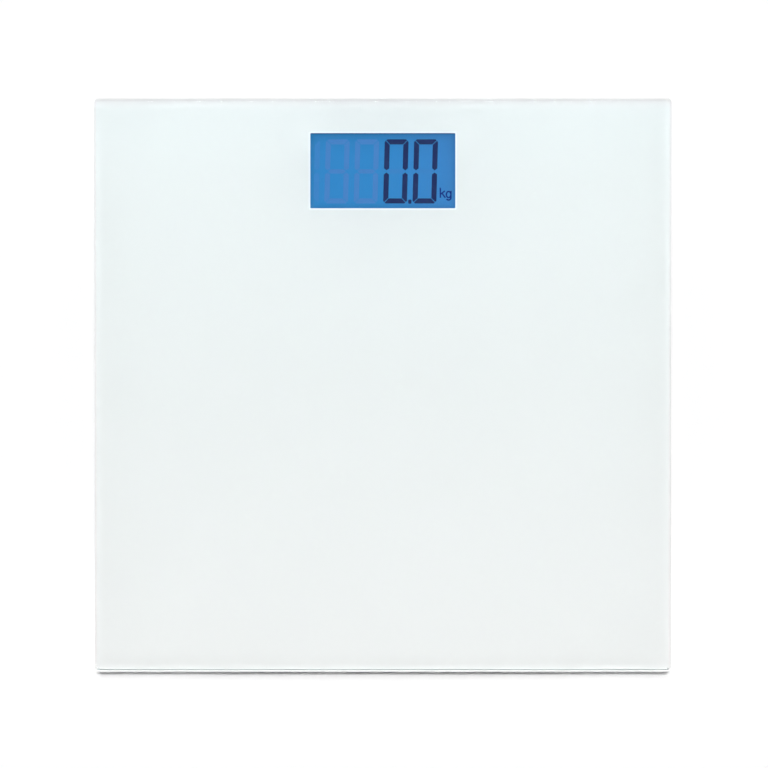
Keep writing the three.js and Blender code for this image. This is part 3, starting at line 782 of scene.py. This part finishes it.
def display():
    """The panel, with 0.0 kg lit and the other segments unlit."""
    lcd_size = LCD_HIGH - LCD_LOW
    ring = outline(lcd_size.x, lcd_size.y, 0.6 * MM, (LCD_CENTRE.x, LCD_CENTRE.y), 4)
    panel = piece("lcd_cell", loft([(LCD_LOW.z, ring), (LCD_FACE, ring)]), "lcd_glass", "lcd_panel")
    paint(panel, LIT_FACE)
    zero = [name for name in segment_outlines() if name != "middle"]
    every = [*zero, "middle"]
    pitch = DIGIT["pitch"]
    tenths, units = LAST_DIGIT[0], LAST_DIGIT[0] - pitch
    flat_ink("lcd_tenths", digit_shapes(zero, tenths), LIT_INK)
    flat_ink("lcd_units", digit_shapes(zero, units), LIT_INK)
    point = ((tenths + units) / 2 + POINT_SHIFT[0],
             LAST_DIGIT[1] - DIGIT["height"] / 2 + POINT_SHIFT[1])
    flat_ink("lcd_point", [outline(*POINT_SIZE, 0.6 * MM, point, 4)], LIT_INK)
    ghosts = digit_shapes(every, units - pitch) + digit_shapes(every, units - 2 * pitch)
    faint = [
        *digit_shapes(["middle"], tenths), *digit_shapes(["middle"], units),
        *digit_shapes(["upper_right", "lower_right"], units - 3 * pitch),
    ]
    flat_ink("lcd_ghosts", ghosts, GHOST_INK, INK_DEPTH / 3)
    flat_ink("lcd_faint_ghosts", faint, FAINT_INK, INK_DEPTH / 3)
    unit_text()


# ---- Feet ----


def foot_centre(corner):
    low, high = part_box(f"foot_pad_{corner}")
    return (low + high) / 2


def foot_bell(corner):
    """The housing that is taped to the glass: a bell with a flange that keeps the foot in."""
    low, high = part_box(f"foot_housing_{corner}")
    inside, base, outside = 25.4 * MM, 26.8 * MM, (high.x - low.x) / 2
    roof, flange, flare_top = high.z - 1.3 * MM, low.z + 1.2 * MM, high.z - 2.5 * MM
    profile = rounded([
        (0, roof, 0), (inside, roof, 1 * MM), (inside, flange, 0.3 * MM),
        (THROAT_RADIUS, flange, 0.3 * MM), (THROAT_RADIUS, low.z, 0.3 * MM),
        (base, low.z, 0.8 * MM), (outside, flare_top, 4 * MM),
        (outside, high.z, 0.3 * MM), (0, high.z, 0),
    ])
    bell = piece(f"foot_bell_{corner}", turned(profile, foot_centre(corner)), "white_abs",
                 f"foot_housing_{corner}")
    paint(smooth(bell), WHITE_ABS)


def foot_plate(corner):
    """The plate that the pad is glued into, with its guide ring and its central boss."""
    low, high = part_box(f"foot_cup_{corner}")
    seat = low.z + 0.8 * MM
    deck = seat + 2.2 * MM
    catch, catch_top, rim = deck + 2.8 * MM, deck + 3.3 * MM, deck + 4.4 * MM
    socket, outside = PAD_RADIUS + 0.3 * MM, 23.5 * MM
    bore, catch_radius = RING_RADIUS - 2 * MM, RING_RADIUS + 1 * MM
    boss, boss_tip = 5 * MM, 4 * MM
    profile = rounded([
        (0, seat, 0), (socket, seat, 0), (socket, low.z, 0.2 * MM),
        (outside, low.z, 0.5 * MM), (outside, deck, 0.4 * MM), (RING_RADIUS, deck, 0.3 * MM),
        (RING_RADIUS, catch, 0), (catch_radius, catch, 0.2 * MM),
        (catch_radius, catch_top, 0.2 * MM), (RING_RADIUS, rim, 0.2 * MM), (bore, rim, 0.2 * MM),
        (bore, deck, 0.5 * MM), (boss, deck, 0.5 * MM), (boss_tip, high.z, 0.4 * MM),
        (0, high.z, 0),
    ])
    plate = piece(f"foot_plate_{corner}", turned(profile, foot_centre(corner)), "grey_abs",
                  f"foot_cup_{corner}", body=f"foot_{corner}")
    paint(smooth(plate), GREY_ABS)


def foot_rubber(corner):
    """The pad, with three shallow grip rings in the face that meets the floor."""
    low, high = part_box(f"foot_pad_{corner}")
    mouth, bottom, ease = 0.9 * MM, 0.5 * MM, 0.15 * MM
    bottom_z = low.z + 0.4 * MM
    corners = [(0, low.z, 0)]
    for ring in GRIP_RINGS:
        corners += [
            (ring - mouth, low.z, ease), (ring - bottom, bottom_z, ease),
            (ring + bottom, bottom_z, ease), (ring + mouth, low.z, ease),
        ]
    corners += [
        (PAD_RADIUS - 0.4 * MM, low.z, 0.5 * MM), (PAD_RADIUS, low.z + 0.8 * MM, 0.3 * MM),
        (PAD_RADIUS, high.z, 0.1 * MM), (0, high.z, 0),
    ]
    pad = piece(f"foot_rubber_{corner}", turned(rounded(corners, 3), foot_centre(corner)),
                "grey_rubber", f"foot_pad_{corner}", body=f"foot_{corner}")
    paint(smooth(pad), PAD_RUBBER)


def load_cell(corner):
    """A steel plate whose U-shaped slot leaves a tongue. It yields to the foot's central boss."""
    low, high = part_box(f"load_cell_{corner}")
    matrix, _ = lead_frame(corner)
    plate = outline(CELL_SIZE, CELL_SIZE, 2 * MM)
    cell = piece(f"cell_plate_{corner}", moved(loft([(low.z, plate), (high.z, plate)]), matrix),
                 "spring_steel", f"load_cell_{corner}")
    back, tip, inner, outer = -12 * MM, 9 * MM, 7.5 * MM, 11 * MM
    above = GLASS_HIGH.z
    slots = [
        box((back, inner, 0), (tip, outer, above)),
        box((back, -outer, 0), (tip, -inner, above)),
        box((back, -9 * MM, 0), (-8.5 * MM, 9 * MM, above)),
    ]
    combine(cell, "DIFFERENCE", *[moved(slot, matrix) for slot in slots])
    ease_edges(cell, 0.12 * MM)
    paint(cell, SPRING_STEEL)
    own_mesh(cell)


def feet():
    for corner in CORNERS:
        foot_bell(corner)
        foot_plate(corner)
        foot_rubber(corner)
        load_cell(corner)


# ---- Display housing, cover, battery door and unit button ----


def housing_layers(profile):
    """Rings of the housing's outline through a profile of (inset, z, radius) corners."""
    size = COVER_HIGH - COVER_LOW
    middle = (COVER_HIGH + COVER_LOW) / 2
    corner = 8 * MM
    return [
        (z, outline(size.x - 2 * inset, size.y - 2 * inset, corner - inset, middle))
        for inset, z in rounded(profile)
    ]


def lead_frame(corner):
    """A foot's own frame, with +X along its lead, and how far the lead runs to the housing."""
    foot = foot_centre(corner)
    side = 1 if "right" in corner else -1
    if "front" in corner:
        port = Vector((side * FRONT_PORT, COVER_LOW.y))
    else:
        port = Vector((side * COVER_HIGH.x, foot.y))
    run = port - foot.xy
    turn = Matrix.Rotation(math.atan2(run.y, run.x), 4, "Z")
    return Matrix.Translation((foot.x, foot.y, 0)) @ turn, run.length


def battery_bay(low, high):
    """The walls of the battery bay: one at each end and one behind."""
    end, thick, rear = 25.6 * MM, 1.6 * MM, DOOR_HIGH.y - 0.7 * MM - 1.6 * MM
    front, overlap = COVER_LOW.y + 1 * MM, 0.5 * MM
    return [
        box((-end - thick, front, low), (-end, rear + thick, high)),
        box((end, front, low), (end + thick, rear + thick, high)),
        box((-end - overlap, rear, low), (end + overlap, rear + thick, high)),
    ]


def display_hole(roof):
    half = (LCD_HIGH - LCD_LOW) / 2 + Vector((0.3 * MM, 0.3 * MM, 0))
    return box((LCD_CENTRE.x - half.x, LCD_CENTRE.y - half.y, roof - 1 * MM),
               (LCD_CENTRE.x + half.x, LCD_CENTRE.y + half.y, GLASS_HIGH.z))


def lead_ports(roof):
    half, bottom = 2.4 * MM, 14.6 * MM
    ports = []
    for corner in CORNERS:
        matrix, reach = lead_frame(corner)
        port = box((reach - 4 * MM, -half, bottom), (reach + 5 * MM, half, roof))
        ports.append(moved(port, matrix))
    return ports


def display_shell():
    """The moulding under the glass: walls, roof, screw posts and battery bay."""
    split, top = COVER_HIGH.z, SHELL_HIGH.z
    roof = top - ROOF
    into_roof = roof + 0.5 * MM
    shell = piece("display_shell", loft(housing_layers([
        (0, split, 0), (0, top, 0.5 * MM), (5 * MM, top, 0),
    ])), "white_abs", "display_housing")
    cavity = loft(housing_layers([
        (WALL, split - WALL, 0), (WALL, roof, 0.5 * MM), (5 * MM, roof, 0),
    ]))
    combine(shell, "DIFFERENCE", cavity)
    posts, pilots = [], []
    for places, post in ((SCREW_PLACES, HOUSING_POST), (BOARD_SCREW_PLACES, BOARD_POST)):
        radius, bottom, pilot_radius, pilot_top = post
        posts += [cylinder(place, radius, bottom, into_roof) for place in places]
        pilots += [cylinder(place, pilot_radius, 0, pilot_top) for place in places]
    combine(shell, "UNION", *posts, *battery_bay(SHELL_LOW.z, into_roof))
    combine(shell, "DIFFERENCE", *pilots, display_hole(roof), *lead_ports(roof))
    paint(smooth(shell), WHITE_ABS)


def cover():
    """The tray that closes the housing from below, open for the battery door and the button."""
    low, high = COVER_LOW.z, COVER_HIGH.z
    floor_top = low + COVER_FLOOR
    tray = piece("cover_tray", loft(housing_layers([
        (5 * MM, low, 0), (0, low, 1 * MM), (0, high, 0.15 * MM), (1 * MM, high, 0),
    ])), "white_abs", "housing_cover")
    cavity = loft(housing_layers([
        (5 * MM, floor_top, 0), (WALL, floor_top, 0.6 * MM), (WALL, high + WALL, 0),
    ]))
    combine(tray, "DIFFERENCE", cavity)
    combine(tray, "UNION", *[cylinder(p, 3.7 * MM, low + 1 * MM, high) for p in SCREW_PLACES])
    gap = 0.3 * MM
    slot, reach = DOOR_HALF + gap, TONGUE_HALF + gap
    door_slot = box((-slot, 0, 0), (slot, DOOR_HIGH.y + gap, GLASS_HIGH.z))
    tongues = box((-reach, 0, floor_top), (reach, COVER_LOW.y + WALL + 1 * MM, GLASS_HIGH.z))
    combine(tray, "DIFFERENCE", *screw_pockets(), door_slot, tongues, button_hole())
    paint(smooth(tray), WHITE_ABS)


def screw_pockets():
    """The cover's screw holes, wider below for the heads."""
    head, shank, seat, above = 2.9 * MM, 1.6 * MM, 5.9 * MM, 2 * COVER_HIGH.z
    pocket = [(0, 0), (head, 0), (head, seat), (shank, seat), (shank, above), (0, above)]
    return [turned(pocket, place, 48) for place in SCREW_PLACES]


def button_hole():
    """The hole that the button's cap comes through, wider below."""
    low, high = COVER_LOW.z, COVER_HIGH.z
    mouth, bore = 5.6 * MM, 4.8 * MM
    profile = [(0, 0), (mouth, 0), (mouth, low), (bore, low + 0.8 * MM), (bore, high), (0, high)]
    return turned(profile, (BUTTON_LOW + BUTTON_HIGH) / 2, 64)


def finger_ridges(front, low):
    """Four bars across the door, for a finger to push against."""
    ridge = rounded([(-0.6 * MM, 0.8 * MM, 0), (-0.6 * MM, 0, 0.3 * MM), (0.6 * MM, 0, 0.3 * MM),
                     (0.6 * MM, 0.8 * MM, 0)], 4)
    half = 11 * MM
    bars = []
    for i in range(4):
        y = front + (5 + 3 * i) * MM
        layers = [(x, [(y + across, low + up) for across, up in ridge]) for x in (-half, half)]
        verts, faces = loft(layers)
        bars.append(([(x, across, up) for across, up, x in verts], faces))
    return bars


def door():
    """The battery door: a panel on two tongues, with finger ridges and an arrow for its way out."""
    front, rear = DOOR_LOW.y, DOOR_HIGH.y
    low, top = COVER_LOW.z, DOOR_HIGH.z
    floor_top = low + COVER_FLOOR
    panel = piece("door_panel", box((-DOOR_HALF, front, low), (DOOR_HALF, rear, floor_top)),
                  "white_abs", "battery_door", body="battery_door")
    rails = []
    for side in (-1, 1):
        inner, outer, edge = (side * x for x in (25.2 * MM, DOOR_HALF, TONGUE_HALF))
        rails.append(box((min(inner, outer), front, floor_top - 0.5 * MM),
                         (max(inner, outer), rear, top)))
        rails.append(box((min(inner, edge), front, TONGUE_BOTTOM), (max(inner, edge), rear, top)))
    combine(panel, "UNION", *rails)
    ease_edges(panel, 0.25 * MM)
    arrow_y = rear - 7 * MM
    arrow_half, arrow_reach = 3 * MM, 2 * MM
    arrow = [(-arrow_half, arrow_y + arrow_reach), (0, arrow_y - arrow_reach),
             (arrow_half, arrow_y + arrow_reach)]
    combine(panel, "DIFFERENCE", loft([(0, arrow), (low + 0.3 * MM, arrow)]))
    combine(panel, "UNION", *finger_ridges(front, DOOR_LOW.z))
    paint(smooth(panel), WHITE_ABS)


def button():
    """A dished cap that is kept in by a flange."""
    centre = (BUTTON_LOW + BUTTON_HIGH) / 2
    low, high = BUTTON_LOW.z, BUTTON_HIGH.z
    radius, flange_radius, flange = 4.5 * MM, 6.2 * MM, high - 0.8 * MM
    profile = rounded([
        (0, low + 0.35 * MM, 0), (1.8 * MM, low + 0.3 * MM, 1 * MM), (3.6 * MM, low, 0.6 * MM),
        (radius, low + 0.1 * MM, 0.35 * MM), (radius, flange, 0),
        (flange_radius, flange, 0.15 * MM), (flange_radius, high, 0.15 * MM), (0, high, 0),
    ])
    cap = piece("button_cap", turned(profile, centre), "grey_abs", "unit_button",
                body="unit_button")
    paint(smooth(cap), GREY_ABS)


def switch_dome():
    """The silicone dome over the switch, which the button flattens."""
    low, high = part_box("switch_dome")
    centre = (low + high) / 2
    radius = (high.x - low.x) / 2
    profile = rounded([
        (0, low.z, 0), (2.25 * MM, low.z, 0.3 * MM), (2.4 * MM, low.z + 0.9 * MM, 0.5 * MM),
        (radius - 0.5 * MM, high.z - 0.5 * MM, 0.5 * MM), (radius, high.z - 0.45 * MM, 0.1 * MM),
        (radius, high.z, 0), (0, high.z, 0),
    ])
    dome = piece("silicone_dome", turned(profile, centre, 48), "grey_silicone", "switch_dome")
    paint(smooth(dome), SILICONE)
    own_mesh(dome)


def screw(node, head_radius, head_height, shank_radius):
    """A pan-head screw that points up, with a cross recess and a rolled thread."""
    low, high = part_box(node)
    centre = (low + high) / 2
    seat, cone = low.z + head_height, high.z - shank_radius
    pitch = 0.9 * MM
    root = shank_radius * 0.78
    thread = []
    turns = int((cone - seat) / pitch)
    for i in range(turns):
        z = seat + i * pitch
        thread += [(root, z + 0.1 * pitch, 0), (shank_radius, z + 0.55 * pitch, 0)]
    profile = rounded([
        (0, low.z, 0), (head_radius * 0.72, low.z, 0.5 * MM),
        (head_radius, low.z + 0.5 * head_height, 0.4 * MM), (head_radius, seat, 0.1 * MM),
        (root, seat, 0), *thread, (shank_radius * 0.7, cone, 0), (0, high.z, 0),
    ], 4)
    body = piece(f"turned_{node}", turned(profile, centre, 32), "zinc_steel", node)
    long, short, deep = head_radius * 0.62, head_radius * 0.14, low.z + 0.55 * head_height
    arms = []
    for x, y in ((long, short), (short, long)):
        base = outline(2 * x, 2 * y, short * 0.5, centre, 3)
        tip = outline(1.2 * x, 1.4 * y, short * 0.3, centre, 3)
        arms.append(loft([(low.z - 0.1 * MM, base), (deep, tip)]))
    combine(body, "DIFFERENCE", *arms)
    paint(smooth(body), ZINC)


def screws():
    for kind, places, sizes in (("housing", SCREW_PLACES, HOUSING_SCREW),
                                ("board", BOARD_SCREW_PLACES, BOARD_SCREW)):
        for i in range(len(places)):
            screw(f"{kind}_screw_{i + 1}", *sizes)


# ---- Leads, their channels and the battery cells ----


def s_bend(x0, z0, x1, z1, steps=12):
    """Points of a smooth step between two heights."""
    parts = [i / steps for i in range(steps + 1)]
    return [(x0 + (x1 - x0) * t, z0 + (z1 - z0) * (3 * t * t - 2 * t ** 3)) for t in parts]


def lead(corner):
    """Three wires side by side, from the load cell through the channel down to the board."""
    matrix, reach = lead_frame(corner)
    start, bend, at_cell, in_channel, at_board = (x * MM for x in (12.5, 8, 13.8, 15.6, 12))
    end = reach + LEAD_INSIDE["front" if "front" in corner else "rear"]
    path = s_bend(start, at_cell, start + bend, in_channel)
    path += s_bend(end - bend, in_channel, end, at_board)
    wires = [
        tube([(x, across * WIRE_RADIUS, z) for x, z in path], WIRE_RADIUS * 0.97)
        for across in (-2, 0, 2)
    ]
    wires = piece(f"lead_wires_{corner}", moved(joined(*wires), matrix), "lead_vinyl",
                  f"cell_lead_{corner}")
    paint(smooth(wires), WIRE_VINYL)


def channel(corner):
    """A U-shaped moulding, closed by the glass, that hides the lead."""
    matrix, reach = lead_frame(corner)
    low, high = 13.8 * MM, COAT_LOW.z
    start, end = 28.5 * MM, reach - 2.2 * MM
    outer, inner, wall = 3.5 * MM, 2.5 * MM, 1 * MM
    profile = rounded([
        (-inner, high, 0), (-outer, high, 0.1 * MM), (-outer, low, 1 * MM), (outer, low, 1 * MM),
        (outer, high, 0.1 * MM), (inner, high, 0), (inner, low + wall, 0.4 * MM),
        (-inner, low + wall, 0.4 * MM), (-inner, high, 0),
    ])[:-1]
    verts, faces = loft([(start, profile), (end, profile)])
    laid = [(x, y, z) for y, z, x in verts], faces
    body = piece(f"channel_{corner}", moved(laid, matrix), "white_abs", f"lead_channel_{corner}")
    paint(smooth(body), WHITE_ABS)


def battery(node, side):
    """An AAA cell along X: a printed film over the can, bare at both ends."""
    low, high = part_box(node)
    centre = (low + high) / 2
    radius, length = (high.z - low.z) / 2, high.x - low.x
    can = length - 0.8 * MM
    nub, groove, dish = 1.9 * MM, can - 0.3 * MM, 0.15 * MM
    profile = rounded([
        (0, dish, 0), (radius - 1 * MM, dish, 0.1 * MM), (radius - 0.6 * MM, 0, 0.2 * MM),
        (radius, 0.4 * MM, 0.3 * MM), (radius, can - 0.5 * MM, 0.4 * MM),
        (radius - 0.9 * MM, can, 0.2 * MM), (radius - 1.2 * MM, groove, 0.1 * MM),
        (nub, groove, 0.1 * MM), (nub, length, 0.3 * MM), (0, length, 0),
    ])
    base = low.x if side > 0 else high.x
    start = Matrix.Translation((base, centre.y, centre.z))
    lay = Matrix.Rotation(side * math.pi / 2, 4, "Y")
    cell = piece(f"cell_{node}", moved(turned(profile, steps=64), start @ lay), "cell_wrap", node)
    paint(smooth(cell), CELL_WRAP, NICKEL)
    film_start, film_end = 1.2 * MM, can - 1.5 * MM
    for face in cell.data.polygons:
        wrapped = film_start < abs(face.center.x - base) < film_end
        face.material_index = 0 if wrapped else 1


def spring(node, side):
    """A contact spring: coils that narrow towards the cell."""
    low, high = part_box(node)
    centre = (low + high) / 2
    wire = 0.28 * MM
    large = (high.z - low.z) / 2 - wire
    first, last = (high.x - wire, low.x + wire) if side > 0 else (low.x + wire, high.x - wire)
    steps, turns, narrowing = 96, 3, 0.33
    path = []
    for i in range(steps + 1):
        t = i / steps
        angle = 2 * math.pi * turns * t
        reach = large * (1 - narrowing * t)
        path.append((first + (last - first) * t, centre.y + reach * math.cos(angle),
                     centre.z + reach * math.sin(angle)))
    coil = piece(f"coil_{node}", tube(path, wire, 10), "nickel_steel", node)
    paint(smooth(coil, 60), NICKEL)


def housing():
    display_shell()
    cover()
    door()
    button()
    switch_dome()
    screws()
    for corner in CORNERS:
        lead(corner)
        channel(corner)
    battery("battery_cell_1", 1)
    battery("battery_cell_2", -1)
    spring("battery_spring_1", -1)
    spring("battery_spring_2", 1)


# ---- CAD nodes that are shown as they are ----


def cad_finishes():
    finishes = {
        "display_gasket": BLACK_FOAM, "housing_tape": WHITE_FOAM, "light_guide": ACRYLIC,
        "backlight_led": LED_WHITE, "zebra_connector": SILICONE, "main_board": BOARD_GREEN,
        "controller_chip": EPOXY, "capacitor": ALUMINIUM, "lead_connector": IVORY,
        "bridge_contact": NICKEL, "terminal_negative": NICKEL, "terminal_positive": NICKEL,
        **{f"foot_tape_{corner}": WHITE_FOAM for corner in CORNERS},
    }
    for node, material in finishes.items():
        paint(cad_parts[node], material)


# ---- Stage: floor, light and camera ----


def floor():
    half = 8.0
    corners = [(-half, -half, 0), (half, -half, 0), (half, half, 0), (-half, half, 0)]
    obj = new_object("floor", new_mesh("floor", corners, [(0, 1, 2, 3)]))
    nodes = Nodes("floor")
    nodes.set(Base_Color=(0.96, 0.96, 0.96, 1), Roughness=1.0)
    paint(obj, nodes.material)


def sun(name, strength, width, tilt):
    lamp = bpy.data.lights.new(name, "SUN")
    lamp.energy = strength
    lamp.angle = math.radians(width)
    new_object(name, lamp).rotation_euler = (-math.radians(tilt), 0, 0)


def sky():
    """A white studio: dark overhead, grey walls and a bright band round the horizon."""
    world = bpy.data.worlds.new("studio")
    SCENE.world = world
    world.use_nodes = True
    tree = world.node_tree
    place = tree.nodes.new("ShaderNodeTexCoord")
    split = tree.nodes.new("ShaderNodeSeparateXYZ")
    ramp = tree.nodes.new("ShaderNodeValToRGB")
    tree.links.new(place.outputs["Generated"], split.inputs[0])
    tree.links.new(split.outputs["Z"], ramp.inputs["Fac"])
    set_stops(ramp.color_ramp, [(height, (level,) * 3) for height, level in SKY_LEVELS])
    tree.links.new(ramp.outputs["Color"], tree.nodes["Background"].inputs["Color"])


def camera():
    """Above the platform and a little towards its rear edge, through a very long lens."""
    data = bpy.data.cameras.new("camera")
    data.lens = CAMERA["lens"]
    data.sensor_width = 36
    distance = CAMERA["width"] * data.lens / data.sensor_width
    data.clip_start = 0.1
    data.clip_end = 2 * distance
    obj = new_object("camera", data)
    lean = math.radians(CAMERA["lean"])
    aim = Vector((CAMERA["across"], CAMERA["up"], GLASS_HIGH.z))
    obj.location = aim + distance * Vector((0, math.sin(lean), math.cos(lean)))
    obj.rotation_euler = (-lean, 0, 0)
    bpy.context.scene.camera = obj


def look():
    SCENE.view_settings.view_transform = "Standard"
    SCENE.view_settings.look = "None"


camera()
look()
sky()
sun("key", *KEY)
sun("key_halo", *KEY_HALO)
floor()
glass_slab()
back_coat()
display()
feet()
housing()
cad_finishes()
